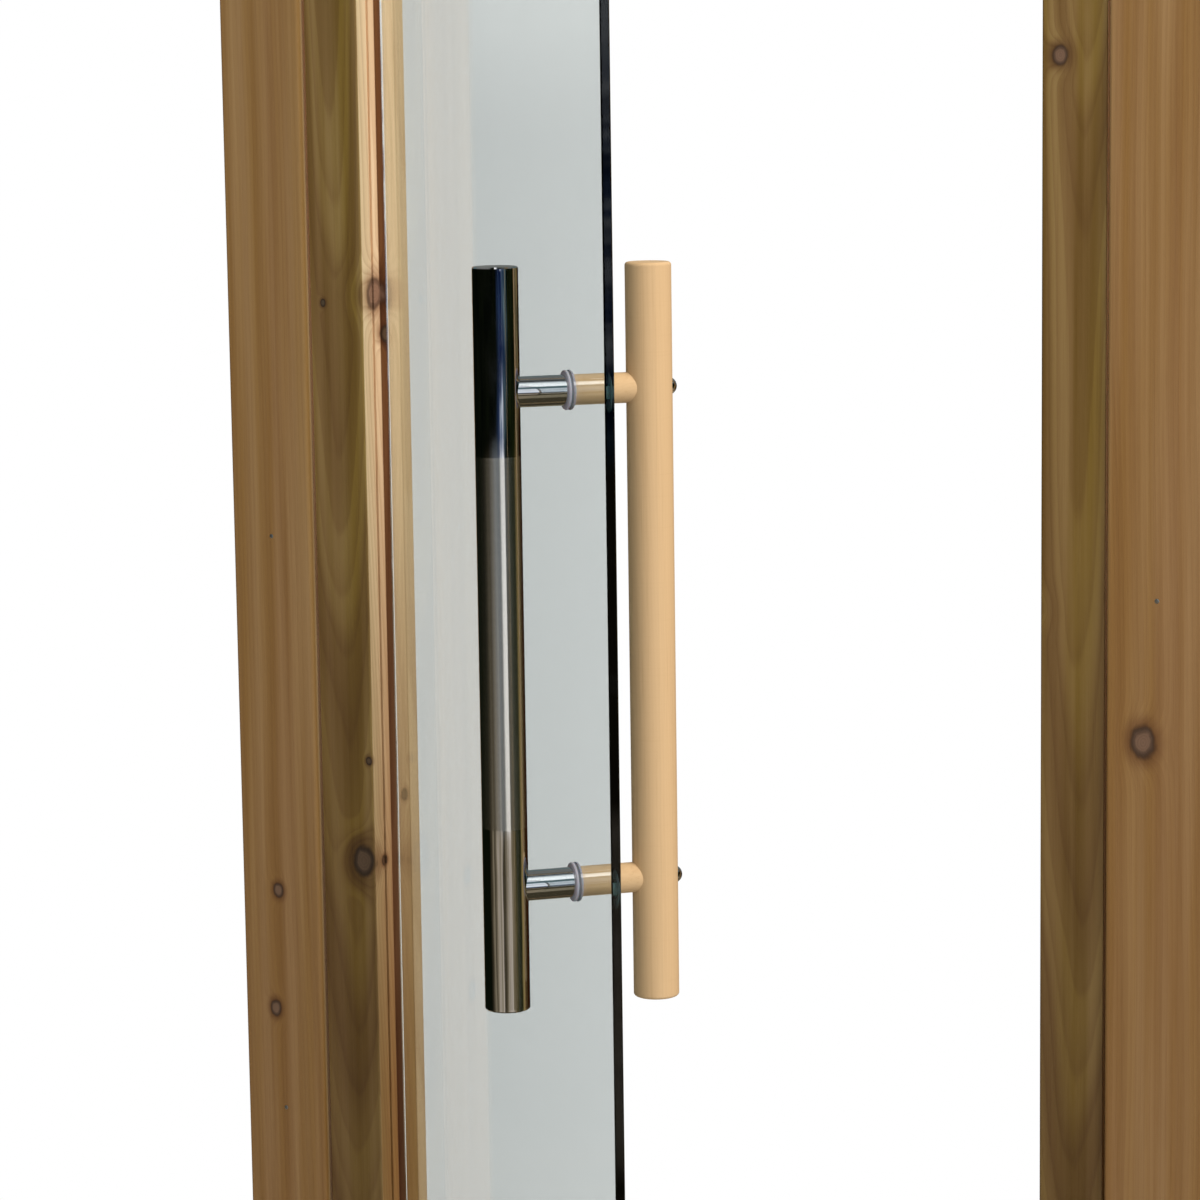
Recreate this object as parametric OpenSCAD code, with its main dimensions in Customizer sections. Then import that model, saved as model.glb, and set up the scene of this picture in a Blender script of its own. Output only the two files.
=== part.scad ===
// Glazed sauna door set: a frameless glass leaf with a steel and wood pull handle,
// hung on two lift-off hinges in a rebated timber frame with casings.
// Millimetres. +X runs from the hinges to the free edge, +Y into the room, +Z up.
// The origin is the centre of the sill's underside.

/* [Leaf] */
// Width of the glass leaf
leaf_w = 520; // [420:5:800]
// Height of the glass leaf
leaf_h = 1740; // [1500:10:2000]
// Thickness of the toughened glass
glass_t = 6; // [5:0.5:10]
// Width of the ground arris along the glass edges
glass_arris = 0.8; // [0.4:0.1:1.5]
// Gap between the leaf's edges and the rebate of the frame
edge_gap = 6; // [5.5:0.5:10]
// Gap between the closed leaf and the stop
stop_gap = 6.5; // [5:0.5:8]
// Angle at which the leaf stands open
open_angle = 40; // [0:1:100]

/* [Frame] */
// Visible width of the front face of jambs and head
face_w = 45; // [36:0.5:70]
// Height of the sill
sill_h = 41; // [30:1:70]
// Depth of the rebate that the leaf closes into
rebate_d = 22; // [20:0.5:40]
// Distance that the stop stands into the doorway
stop_w = 7.8; // [5:0.2:9]
// Depth of the stop
stop_d = 21.5; // [15:0.5:60]
// Width of the kerf in the cheek of the rebate
kerf_w = 2.5; // [2:0.5:5]
// Depth of the kerf
kerf_d = 3; // [2:0.5:8]
// Distance from the front of the frame to the kerf
kerf_in = 12; // [8:0.5:14]
// Radius of the eased edges of the frame
ease_r = 1.5; // [0.5:0.5:3]

/* [Casing] */
// Width of the casing boards
casing_w = 70; // [45:1:120]
// Thickness of the casing boards
casing_t = 15; // [12:1:25]
// Width of casing that laps onto the frame
casing_lap = 20; // [12:1:30]
// Depth of the seat in the frame that takes the casing
casing_seat_d = 11; // [5:1:11]
// Shadow gap between the casing and the face of the frame
shadow_gap = 3; // [1:0.2:5]
// Radius of the rounded front edges of the casing
casing_r = 2.5; // [2:0.5:6]
// Width of the casing boards on the room side
lining_w = 60; // [40:1:100]
// Thickness of the casing boards on the room side
lining_t = 12; // [9:1:20]
// Set back of the room side casing from the edge of the stop
lining_set = 0.5; // [0.5:0.5:3]
// Radius of the rounded edges of the room side casing
lining_r = 2.5; // [1:0.5:4]

/* [Handle] */
// Distance between the two through bolts
hole_pitch = 300; // [200:5:400]
// Distance of the bolts from the free edge of the glass
hole_inset = 78; // [50:1:120]
// Length of both bars
bar_l = 450; // [360:5:600]
// Diameter of the steel bar
steel_d = 27.5; // [20:0.5:35]
// Wall of the steel tube
steel_wall = 1.5; // [1:0.25:3]
// Distance from the outside of the glass to the axis of the steel bar
steel_reach = 43; // [35:1:70]
// Diameter of the wooden bar
wood_d = 28; // [24:0.5:36]
// Distance from the inside of the glass to the axis of the wooden bar
wood_reach = 46; // [35:1:70]
// Radius of the rounded ends of the wooden bar
wood_end_r = 2; // [1:0.5:6]
// Diameter of the four posts
post_d = 18.5; // [14:0.5:19]
// Diameter of the nylon washers
washer_d = 24; // [20:0.5:30]
// Thickness of the nylon washers
washer_t = 1.5; // [1:0.25:4]
// Diameter of the through bolts
bolt_d = 6; // [5:0.5:8]
// Diameter of the dome heads
bolt_head_d = 11; // [10:0.5:13]
// Height of the dome heads
bolt_head_h = 4.5; // [3:0.25:6]
// Diameter of the holes in the glass
glass_hole_d = 12; // [11:0.5:16]

/* [Hinges] */
// Distance between the two hinges
hinge_pitch = 1340; // [900:10:1400]
// Diameter of the hinge pin
pin_d = 8; // [6:0.5:9]
// Outside diameter of the knuckles
knuckle_d = 14; // [13:0.5:16]
// Height of each knuckle
knuckle_h = 30; // [20:1:40]
// Distance of the pin from the cheek of the rebate
pin_in = 2; // [0:0.5:4]
// Distance of the pin in front of the frame
pin_out = 13; // [11:0.5:16]
// Width of the plate on the jamb
plate_w = 30; // [20:1:30]
// Height of the plate on the jamb
plate_h = 72; // [65:1:100]
// Thickness of the plate on the jamb
plate_t = 3; // [2:0.25:4]
// Width of the clamp plates on the glass
clamp_w = 42; // [36:1:60]
// Height of the clamp plates on the glass
clamp_h = 72; // [66:1:100]
// Thickness of the clamp plates
clamp_t = 4; // [3:0.25:6]
// Thickness of the rubber pads under the clamp plates
pad_t = 1; // [0.5:0.25:2]

/* [Hidden] */
$fn = 64;
overrun = 1;
// Running and seating clearances
pin_clear = 0.05;
thread_clear = 0.05;
saddle_clear = 0.05;
bolt_clear = 0.2;
bush_clear = 0.2;
// Handle details
cap_t = 2;
cap_chamfer = 0.8;
cap_spigot_l = 8;
bolt_grip = 16;
bolt_tail = 4;
socket_d = 4;
socket_h = 2;
spot_clear = 0.5;
washer_r = 0.8;
// Hinge details
plate_inset = 5;
plate_r = 4;
clamp_inset = 8;
clamp_r = 6;
web_t = 5;
ring_t = 1;
clamp_screw_d = 6;
clamp_screw_head_d = 10;
clamp_screw_head_h = 3;
clamp_screw_pitch = 40;
clamp_socket_d = 5.8;
clamp_socket_h = 2;
// Frame
door_w = leaf_w + 2 * edge_gap;
door_h = leaf_h + 2 * edge_gap;
frame_d = rebate_d + stop_d;
jamb_w = face_w + shadow_gap + casing_lap;
frame_w = door_w + 2 * jamb_w;
y_front = -frame_d / 2;
y_stop = y_front + rebate_d;
y_seat = y_front + casing_seat_d;
z_head = sill_h + door_h;
y_back = y_front + frame_d;
x_casing = door_w / 2 + face_w + shadow_gap;
z_casing = z_head + face_w + shadow_gap;
x_lining = door_w / 2 - stop_w + lining_set;
z_lining = z_head - stop_w + lining_set;
// Closed leaf
x_hinge_edge = -leaf_w / 2;
y_in = y_stop - stop_gap;
y_out = y_in - glass_t;
z_leaf = sill_h + edge_gap;
z_mid = z_leaf + leaf_h / 2;
// Handle
x_handle = leaf_w / 2 - hole_inset;
y_steel = y_out - steel_reach;
y_wood = y_in + wood_reach;
z_bolts = [z_mid + hole_pitch / 2, z_mid - hole_pitch / 2];
bolt_bore_d = bolt_d + 2 * bolt_clear;
spot_d = bolt_head_d + 2 * spot_clear;
y_spot = y_wood + sqrt(pow(wood_d / 2, 2) - pow(spot_d / 2, 2));
y_bolt_end = y_out - washer_t - bolt_grip;
dome_r = (pow(bolt_head_d / 2, 2) + pow(bolt_head_h, 2)) / (2 * bolt_head_h);
// Hinges
pin_xy = [-door_w / 2 + pin_in, y_front - pin_out];
z_hinges = [z_mid + hinge_pitch / 2, z_mid - hinge_pitch / 2];
x_plate = -door_w / 2 - plate_inset - plate_w;
x_clamp = x_hinge_edge + clamp_inset;
y_outer_clamp = y_out - pad_t - clamp_t;
y_inner_clamp = y_in + pad_t;
x_clamp_screw = x_clamp + clamp_w / 2;

// Waste of a rounded corner at the origin, for material that lies in +X and +Y
module corner_waste(r) {
    difference() {
        translate([-overrun, -overrun]) square([r + overrun, r + overrun]);
        translate([r, r]) circle(r);
    }
}

// Rectangle with rounded corners
module rounded_plate(w, h, r) {
    difference() {
        square([w, h]);
        corner_waste(r);
        translate([w, 0]) mirror([1, 0]) corner_waste(r);
        translate([0, h]) mirror([0, 1]) corner_waste(r);
        translate([w, h]) mirror([1, 0]) mirror([0, 1]) corner_waste(r);
    }
}

// Straight flat link of width t between two points
module link(a, b, t) {
    run = b - a;
    translate(a)
        rotate(atan2(run[1], run[0]))
            translate([0, -t / 2]) square([norm(run), t]);
}

// Round rod along +Y that starts at y
module rod_y(d, y, l) {
    translate([0, y, 0]) rotate([-90, 0, 0]) cylinder(d = d, h = l);
}

// Plain section of the frame: X = 0 is the cheek of the rebate, Y = 0 the front
module frame_section(w) {
    difference() {
        union() {
            translate([-w, 0]) square([w, frame_d]);
            translate([-stop_w, rebate_d]) square([2 * stop_w, stop_d]);
        }
        translate([-kerf_d, kerf_in]) square([kerf_d + overrun, kerf_w]);
        mirror([1, 0]) corner_waste(ease_r);
        translate([stop_w, frame_d]) mirror([1, 0]) mirror([0, 1]) corner_waste(ease_r);
    }
}

// Section of jambs and head, with the seat for the casing
module cased_section() {
    difference() {
        frame_section(jamb_w);
        translate([-jamb_w - overrun, -overrun])
            square([casing_lap + shadow_gap + overrun, casing_seat_d + overrun]);
    }
}

// Everything outside the doorway between the stops, below z_head and above the sill
module beside_stops() {
    span = jamb_w + stop_w + overrun;
    for (side = [-1, 1])
        translate([side * (door_w / 2 - stop_w + span / 2), 0, sill_h + door_h / 2])
            cube([span, frame_d + 2 * overrun, door_h], center = true);
}

// Seats for the side casings across the ends of head and sill
module side_seats() {
    span = casing_lap + shadow_gap + overrun;
    for (side = [-1, 1])
        translate([side * (door_w / 2 + face_w + span / 2), y_front, z_casing / 2])
            cube([span, 2 * casing_seat_d, z_casing + 2 * overrun], center = true);
}

// Section laid along X, its cheek turned up for the sill or down for the head
module along_doorway(z, up) {
    translate([-frame_w / 2, y_front, z])
        rotate([90, 0, 90])
            linear_extrude(height = frame_w)
                rotate(90) mirror([up ? 0 : 1, 0]) mirror([0, 1]) children();
}

module jamb() {
    translate([-door_w / 2, y_front, sill_h])
        linear_extrude(height = door_h) cased_section();
}

module hinge_jamb() {
    color("peru") jamb();
}

module latch_jamb() {
    color("peru") mirror([1, 0, 0]) jamb();
}

module head() {
    color("peru")
        difference() {
            along_doorway(z_head, false) cased_section();
            beside_stops();
            side_seats();
        }
}

module sill() {
    color("peru")
        difference() {
            along_doorway(sill_h, true) frame_section(sill_h);
            beside_stops();
            side_seats();
        }
}

// Board section: its back lies on Y = 0 and the edges of its front are rounded
module board_section(w, t, r) {
    difference() {
        translate([0, -t]) square([w, t]);
        translate([0, -t]) corner_waste(r);
        translate([w, -t]) mirror([1, 0]) corner_waste(r);
    }
}

// Board beside the doorway, from x outwards and from the ground up to z
module side_board(x, z) {
    translate([x, 0, 0]) linear_extrude(height = z) children();
}

// Board over the doorway, from z upwards and run to each side of the middle
module top_board(run, z) {
    translate([-run, 0, z])
        rotate([90, 0, 90]) linear_extrude(height = 2 * run) mirror([1, -1]) children();
}

// Puts a board's back on the seats in the front of the frame
module on_front() {
    color("burlywood") translate([0, y_seat, 0]) children();
}

// Puts a board's back on the room side of the frame
module on_back() {
    color("burlywood") translate([0, y_back, 0]) mirror([0, 1, 0]) children();
}

module outer_board() {
    board_section(casing_w, casing_t, casing_r);
}

module inner_board() {
    board_section(lining_w, lining_t, lining_r);
}

module latch_casing() {
    on_front() side_board(x_casing, z_casing) outer_board();
}

module hinge_casing() {
    on_front() mirror([1, 0, 0]) side_board(x_casing, z_casing) outer_board();
}

module head_casing() {
    on_front() top_board(x_casing + casing_w, z_casing) outer_board();
}

module inner_latch_casing() {
    on_back() side_board(x_lining, z_lining) inner_board();
}

module inner_hinge_casing() {
    on_back() mirror([1, 0, 0]) side_board(x_lining, z_lining) inner_board();
}

module inner_head_casing() {
    on_back() top_board(x_lining + lining_w, z_lining) inner_board();
}

// Puts what is modelled on the closed leaf at its open angle
module on_leaf() {
    translate(pin_xy) rotate(-open_angle) translate(-pin_xy) children();
}

// Jamb's half of a lift-off hinge: a cranked plate with the lower knuckle
module jamb_plate(z) {
    foot = [x_plate + plate_w - web_t, y_front];
    color("silver") {
        translate([x_plate, y_front, z - plate_h / 2])
            rotate([90, 0, 0]) linear_extrude(height = plate_t) rounded_plate(plate_w, plate_h, plate_r);
        translate([0, 0, z - knuckle_h])
            linear_extrude(height = knuckle_h)
                difference() {
                    union() {
                        link(pin_xy, foot, web_t);
                        translate(pin_xy) circle(d = knuckle_d);
                    }
                    translate(pin_xy) circle(d = pin_d + 2 * pin_clear);
                    translate([x_plate, y_front]) square([plate_w + knuckle_d, pin_out]);
                }
    }
}

module upper_jamb_plate() {
    jamb_plate(z_hinges[0]);
}

module lower_jamb_plate() {
    jamb_plate(z_hinges[1]);
}

module hinge_pin(z) {
    color("silver")
        translate([pin_xy[0], pin_xy[1], z - knuckle_h])
            cylinder(d = pin_d, h = 2 * knuckle_h + ring_t);
}

module upper_hinge_pin() {
    hinge_pin(z_hinges[0]);
}

module lower_hinge_pin() {
    hinge_pin(z_hinges[1]);
}

module hinge_ring(z) {
    color("goldenrod")
        translate([pin_xy[0], pin_xy[1], z])
            difference() {
                cylinder(d = knuckle_d, h = ring_t);
                translate([0, 0, -overrun])
                    cylinder(d = pin_d + 2 * pin_clear, h = ring_t + 2 * overrun);
            }
}

module upper_hinge_ring() {
    hinge_ring(z_hinges[0]);
}

module lower_hinge_ring() {
    hinge_ring(z_hinges[1]);
}

// Glass sheet with a ground arris along all edges
module glass_edge_section(l) {
    a = glass_arris;
    polygon([
        [a, 0], [l - a, 0],
        [l, a], [l, glass_t - a],
        [l - a, glass_t], [a, glass_t],
        [0, glass_t - a], [0, a]
    ]);
}

module glass_pane() {
    color("darkseagreen", 0.4)
        on_leaf()
            difference() {
                intersection() {
                    translate([x_hinge_edge, y_out, z_leaf])
                        linear_extrude(height = leaf_h) glass_edge_section(leaf_w);
                    translate([x_hinge_edge, y_out, z_leaf])
                        rotate([90, 0, 90])
                            linear_extrude(height = leaf_w) mirror([1, -1]) glass_edge_section(leaf_h);
                }
                for (z = z_bolts)
                    translate([x_handle, 0, z])
                        rod_y(glass_hole_d, y_out - overrun, glass_t + 2 * overrun);
                for (z = z_hinges)
                    for (side = [-1, 1])
                        translate([x_clamp_screw, 0, z + side * clamp_screw_pitch / 2])
                            rod_y(glass_hole_d, y_out - overrun, glass_t + 2 * overrun);
            }
}

module steel_bar() {
    color("gray")
        on_leaf()
            translate([x_handle, y_steel, z_mid - bar_l / 2 + cap_t])
                difference() {
                    cylinder(d = steel_d, h = bar_l - 2 * cap_t);
                    translate([0, 0, -overrun])
                        cylinder(d = steel_d - 2 * steel_wall, h = bar_l);
                }
}

// End cap of the steel tube: a chamfered disc with a spigot that fits the bore
module bar_cap() {
    spigot_r = steel_d / 2 - steel_wall - saddle_clear;
    color("lightgray")
        rotate_extrude()
            polygon([
                [0, -cap_spigot_l],
                [spigot_r, -cap_spigot_l],
                [spigot_r, 0],
                [steel_d / 2, 0],
                [steel_d / 2, cap_t - cap_chamfer],
                [steel_d / 2 - cap_chamfer, cap_t],
                [0, cap_t]
            ]);
}

module steel_bar_top_cap() {
    on_leaf() translate([x_handle, y_steel, z_mid + bar_l / 2 - cap_t]) bar_cap();
}

module steel_bar_bottom_cap() {
    on_leaf() translate([x_handle, y_steel, z_mid - bar_l / 2 + cap_t]) mirror([0, 0, 1]) bar_cap();
}

// Steel post: saddled to the bar at one end, tapped for the bolt at the other
module steel_post(z) {
    tap_l = bolt_grip + bolt_tail;
    color("lightgray")
        on_leaf()
            translate([x_handle, 0, z])
                difference() {
                    rod_y(post_d, y_steel, steel_reach - washer_t);
                    translate([0, y_steel, 0])
                        cylinder(d = steel_d + 2 * saddle_clear, h = 2 * post_d, center = true);
                    rod_y(bolt_d + 2 * thread_clear, y_bolt_end - bolt_tail, tap_l + overrun);
                }
}

module upper_steel_post() {
    steel_post(z_bolts[0]);
}

module lower_steel_post() {
    steel_post(z_bolts[1]);
}

// Nylon washer with a rounded rim and a bush that centres the bolt in the glass
module washer_at_origin() {
    difference() {
        union() {
            rotate([90, 0, 0])
                rotate_extrude()
                    difference() {
                        square([washer_d / 2, washer_t]);
                        translate([washer_d / 2, washer_t])
                            mirror([1, 0]) mirror([0, 1]) corner_waste(washer_r);
                    }
            rod_y(glass_hole_d - 2 * bush_clear, -washer_t / 2, (washer_t + glass_t) / 2 - bush_clear);
        }
        rod_y(bolt_bore_d, -washer_t - overrun, washer_t + glass_t);
    }
}

module outer_washer(z) {
    color("lavender") on_leaf() translate([x_handle, y_out, z]) washer_at_origin();
}

module inner_washer(z) {
    color("lavender") on_leaf() translate([x_handle, y_in, z]) mirror([0, 1, 0]) washer_at_origin();
}

module upper_outer_washer() {
    outer_washer(z_bolts[0]);
}

module lower_outer_washer() {
    outer_washer(z_bolts[1]);
}

module upper_inner_washer() {
    inner_washer(z_bolts[0]);
}

module lower_inner_washer() {
    inner_washer(z_bolts[1]);
}

// Wooden post: saddled to the wooden bar, bored for the bolt
module wood_post(z) {
    color("wheat")
        on_leaf()
            translate([x_handle, 0, z])
                difference() {
                    rod_y(post_d, y_in + washer_t, wood_reach - washer_t);
                    translate([0, y_wood, 0])
                        cylinder(d = wood_d + 2 * saddle_clear, h = 2 * post_d, center = true);
                    rod_y(bolt_bore_d, y_in, wood_reach);
                }
}

module upper_wood_post() {
    wood_post(z_bolts[0]);
}

module lower_wood_post() {
    wood_post(z_bolts[1]);
}

// Turned wooden bar with rounded ends, cross bored and spot faced for the bolts
module wood_bar() {
    color("wheat")
        on_leaf()
            difference() {
                translate([x_handle, y_wood, z_mid - bar_l / 2])
                    rotate_extrude()
                        difference() {
                            square([wood_d / 2, bar_l]);
                            translate([wood_d / 2, 0]) mirror([1, 0]) corner_waste(wood_end_r);
                            translate([wood_d / 2, bar_l])
                                mirror([1, 0]) mirror([0, 1]) corner_waste(wood_end_r);
                        }
                for (z = z_bolts)
                    translate([x_handle, 0, z]) {
                        rod_y(bolt_bore_d, y_wood - wood_d, 2 * wood_d);
                        rod_y(spot_d, y_spot, wood_d);
                    }
            }
}

// Dome headed bolt from the back of the wooden bar into the steel post
module handle_bolt(z) {
    color("lightgray")
        on_leaf()
            translate([x_handle, 0, z])
                difference() {
                    union() {
                        rod_y(bolt_d, y_bolt_end, y_spot - y_bolt_end + bolt_head_h / 2);
                        translate([0, y_spot, 0])
                            rotate([-90, 0, 0])
                                rotate_extrude()
                                    intersection() {
                                        square([bolt_head_d / 2, bolt_head_h]);
                                        translate([0, bolt_head_h - dome_r]) circle(dome_r);
                                    }
                    }
                    translate([0, y_spot + bolt_head_h - socket_h, 0])
                        rotate([-90, 0, 0]) cylinder(d = socket_d, h = bolt_head_h, $fn = 6);
                }
}

module upper_handle_bolt() {
    handle_bolt(z_bolts[0]);
}

module lower_handle_bolt() {
    handle_bolt(z_bolts[1]);
}

// Upright rounded plate on the glass, from y inwards, with two screw holes
module clamp_slab(y, t, z, hole_d) {
    difference() {
        translate([x_clamp, y + t, z - clamp_h / 2])
            rotate([90, 0, 0]) linear_extrude(height = t) rounded_plate(clamp_w, clamp_h, clamp_r);
        for (side = [-1, 1])
            translate([x_clamp_screw, 0, z + side * clamp_screw_pitch / 2])
                rod_y(hole_d, y - overrun, t + 2 * overrun);
    }
}

// Leaf's half of the hinge: the outer clamp plate with the upper knuckle
module outer_clamp(z) {
    heel = [x_clamp + web_t / 2, y_outer_clamp + clamp_t / 2];
    color("silver")
        on_leaf() {
            clamp_slab(y_outer_clamp, clamp_t, z, clamp_screw_d + 2 * bolt_clear);
            translate([0, 0, z + ring_t])
                linear_extrude(height = knuckle_h)
                    difference() {
                        union() {
                            link(pin_xy, heel, web_t);
                            translate(pin_xy) circle(d = knuckle_d);
                        }
                        translate(pin_xy) circle(d = pin_d + 2 * pin_clear);
                    }
        }
}

module upper_outer_clamp() {
    outer_clamp(z_hinges[0]);
}

module lower_outer_clamp() {
    outer_clamp(z_hinges[1]);
}

module inner_clamp(z) {
    color("silver")
        on_leaf() clamp_slab(y_inner_clamp, clamp_t, z, clamp_screw_d + 2 * thread_clear);
}

module upper_inner_clamp() {
    inner_clamp(z_hinges[0]);
}

module lower_inner_clamp() {
    inner_clamp(z_hinges[1]);
}

module clamp_pad(y, z) {
    color("dimgray") on_leaf() clamp_slab(y, pad_t, z, glass_hole_d);
}

module upper_outer_pad() {
    clamp_pad(y_out - pad_t, z_hinges[0]);
}

module lower_outer_pad() {
    clamp_pad(y_out - pad_t, z_hinges[1]);
}

module upper_inner_pad() {
    clamp_pad(y_in, z_hinges[0]);
}

module lower_inner_pad() {
    clamp_pad(y_in, z_hinges[1]);
}

// Two socket screws that draw the clamp plates together through the glass
module clamp_screws(z) {
    y_head = y_outer_clamp - clamp_screw_head_h;
    root = clamp_screw_head_h - clamp_socket_h;
    reach = y_inner_clamp + clamp_t - y_outer_clamp;
    color("lightgray")
        on_leaf()
            for (side = [-1, 1])
                translate([x_clamp_screw, 0, z + side * clamp_screw_pitch / 2])
                    difference() {
                        union() {
                            rod_y(clamp_screw_head_d, y_head, clamp_screw_head_h);
                            rod_y(clamp_screw_d, y_outer_clamp - root, reach + root);
                        }
                        translate([0, y_head + clamp_socket_h, 0])
                            rotate([90, 0, 0])
                                cylinder(d = clamp_socket_d, h = clamp_screw_head_h, $fn = 6);
                    }
}

module upper_clamp_screws() {
    clamp_screws(z_hinges[0]);
}

module lower_clamp_screws() {
    clamp_screws(z_hinges[1]);
}

sill();
hinge_jamb();
latch_jamb();
head();
hinge_casing();
latch_casing();
head_casing();
inner_hinge_casing();
inner_latch_casing();
inner_head_casing();
upper_jamb_plate();
lower_jamb_plate();
upper_hinge_pin();
lower_hinge_pin();
upper_hinge_ring();
lower_hinge_ring();
glass_pane();
steel_bar();
steel_bar_top_cap();
steel_bar_bottom_cap();
upper_steel_post();
lower_steel_post();
upper_outer_washer();
lower_outer_washer();
upper_inner_washer();
lower_inner_washer();
upper_wood_post();
lower_wood_post();
wood_bar();
upper_handle_bolt();
lower_handle_bolt();
upper_outer_clamp();
lower_outer_clamp();
upper_inner_clamp();
lower_inner_clamp();
upper_outer_pad();
lower_outer_pad();
upper_inner_pad();
lower_inner_pad();
upper_clamp_screws();
lower_clamp_screws();
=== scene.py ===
# Looks of the sauna door: a timber frame, a glass leaf and its steel and wood pull handle.
# Metres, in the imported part's own frame: +X towards the free edge, +Y into the room, +Z up.
import math

import bmesh
import bpy
from mathutils import Matrix, Vector


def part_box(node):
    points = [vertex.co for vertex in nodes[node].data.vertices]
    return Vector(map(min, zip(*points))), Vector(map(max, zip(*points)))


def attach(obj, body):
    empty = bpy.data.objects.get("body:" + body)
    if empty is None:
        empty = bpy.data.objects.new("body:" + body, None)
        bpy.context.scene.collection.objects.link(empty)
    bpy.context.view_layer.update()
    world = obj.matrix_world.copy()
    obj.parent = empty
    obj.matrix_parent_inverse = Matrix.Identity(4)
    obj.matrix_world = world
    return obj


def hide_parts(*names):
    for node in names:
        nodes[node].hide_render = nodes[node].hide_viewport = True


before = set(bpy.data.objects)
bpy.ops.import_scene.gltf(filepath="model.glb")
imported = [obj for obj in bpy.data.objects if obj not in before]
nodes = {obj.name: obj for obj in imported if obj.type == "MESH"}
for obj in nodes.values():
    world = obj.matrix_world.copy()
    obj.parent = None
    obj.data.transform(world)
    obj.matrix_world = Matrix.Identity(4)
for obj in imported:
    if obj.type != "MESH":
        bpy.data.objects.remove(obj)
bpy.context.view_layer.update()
MM = 0.001
FULL_TURN = 2 * math.pi
QUARTER_TURN = math.radians(90)

# Sizes read off the frame
JAMB_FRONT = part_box("hinge_jamb")[0].y
STOP_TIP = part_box("hinge_jamb")[1].x
CASING_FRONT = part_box("hinge_casing")[0].y
LINING_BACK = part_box("inner_hinge_casing")[1].y
BAR_LOW, BAR_HIGH = (corner.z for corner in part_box("wood_bar"))
BAR_MIDDLE = (BAR_LOW + BAR_HIGH) / 2
STEEL_AXIS = sum(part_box("steel_bar"), Vector()) / 2
WOOD_AXIS = sum(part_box("wood_bar"), Vector()) / 2

# Driving sizes of the finish
REBATE_D = 22 * MM
STOP_FACE = JAMB_FRONT + REBATE_D
LEAF_OPEN = math.radians(40)
POLISHED_END = 112.5 * MM
POLISH_EDGE = 0.2 * MM
NAIL_D = 3.2 * MM
NAIL_STEP = 420 * MM
NAIL_END = 70 * MM
PLATE_W = 30 * MM
PLATE_T = 3 * MM
PLATE_SCREW_IN = 8 * MM
SCREW_D = 7.6 * MM
SOFT_EDGE = 0.5 * MM
WELD = 0.002 * MM
SEAM = 0.001 * MM

# Shapes of nail and screw heads, for a head 1 across, and the bars of the screw's cross recess
HEAD_RADIUS = 0.5
NAIL_RISE, NAIL_ROOT, NAIL_STEPS = 0.10, 0.30, 16
SCREW_RISE, SCREW_ROOT, SCREW_STEPS = 0.12, 0.10, 32
SLOT_L, SLOT_W, SLOT_D = 0.62, 0.13, 0.20
# Seeds of the turns of the heads
NAIL_SEED, SCREW_SEED = 3, 5

# Angles over which an edge stays sharp or is rounded, and under which it is a seam in a flat face
SHARP_HEAD = math.radians(35)
SHARP_PLATE = math.radians(32)
ROUNDED_EDGE = math.radians(50)
FLAT_SEAM = math.radians(1)


def tint(red, green, blue):
    """Linear colour of a colour chart's 0 to 255 values."""
    def linear(value):
        share = value / 255
        return share / 12.92 if share <= 0.04045 else ((share + 0.055) / 1.055) ** 2.4
    return (linear(red), linear(green), linear(blue), 1.0)


WHITE = (1.0, 1.0, 1.0, 1.0)


# Node building helpers

def feed(tree, socket, value):
    """Sets a socket, or links it when the value is another node's output."""
    if isinstance(value, bpy.types.NodeSocket):
        tree.links.new(value, socket)
    else:
        socket.default_value = value


def put(tree, kind, inputs=None, **settings):
    """Adds a node; inputs maps a socket's name or number to its value."""
    made = tree.nodes.new(kind)
    for name, value in settings.items():
        setattr(made, name, value)
    for key, value in (inputs or {}).items():
        feed(tree, made.inputs[key], value)
    return made


def calc(tree, operation, *values):
    return put(tree, "ShaderNodeMath", dict(enumerate(values)), operation=operation).outputs[0]


def vector(tree, operation, *values):
    made = put(tree, "ShaderNodeVectorMath", dict(enumerate(values)), operation=operation)
    return made.outputs["Vector"]


def grown(tree, value, factor):
    """Vector or colour times a factor."""
    made = put(tree, "ShaderNodeVectorMath", {0: value, "Scale": factor}, operation="SCALE")
    return made.outputs["Vector"]


def length(tree, value):
    return put(tree, "ShaderNodeVectorMath", {0: value}, operation="LENGTH").outputs["Value"]


def stretched(tree, place, scales):
    """Place with each axis scaled by itself."""
    return vector(tree, "MULTIPLY", place, scales)


def turned(tree, place, angles):
    """Place turned about the origin."""
    return put(tree, "ShaderNodeMapping", {"Vector": place, "Rotation": angles}).outputs[0]


def axes(tree, place):
    return put(tree, "ShaderNodeSeparateXYZ", {0: place}).outputs


def noise(tree, place, scales, detail=2.0):
    """Noise from 0 to 1 with its own scale along each axis."""
    inputs = {"Vector": stretched(tree, place, scales), "Scale": 1.0, "Detail": detail}
    return put(tree, "ShaderNodeTexNoise", inputs).outputs["Fac"]


def ramp(tree, value, start, end, low=0.0, high=1.0):
    """Smooth step from low to high as the value runs from start to end."""
    levels = {"Value": value, "From Min": start, "From Max": end, "To Min": low, "To Max": high}
    return put(tree, "ShaderNodeMapRange", levels, interpolation_type="SMOOTHSTEP").outputs["Result"]


def blend(tree, share, low, high):
    """Colour that goes from low to high by share."""
    return put(tree, "ShaderNodeMix", {0: share, 6: low, 7: high}, data_type="RGBA").outputs[2]


def filtered(tree, share, colour, tone):
    """Colour seen through a filter of that tone, by share."""
    inputs = {0: share, 6: colour, 7: tone}
    return put(tree, "ShaderNodeMix", inputs, data_type="RGBA", blend_type="MULTIPLY").outputs[2]


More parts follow.
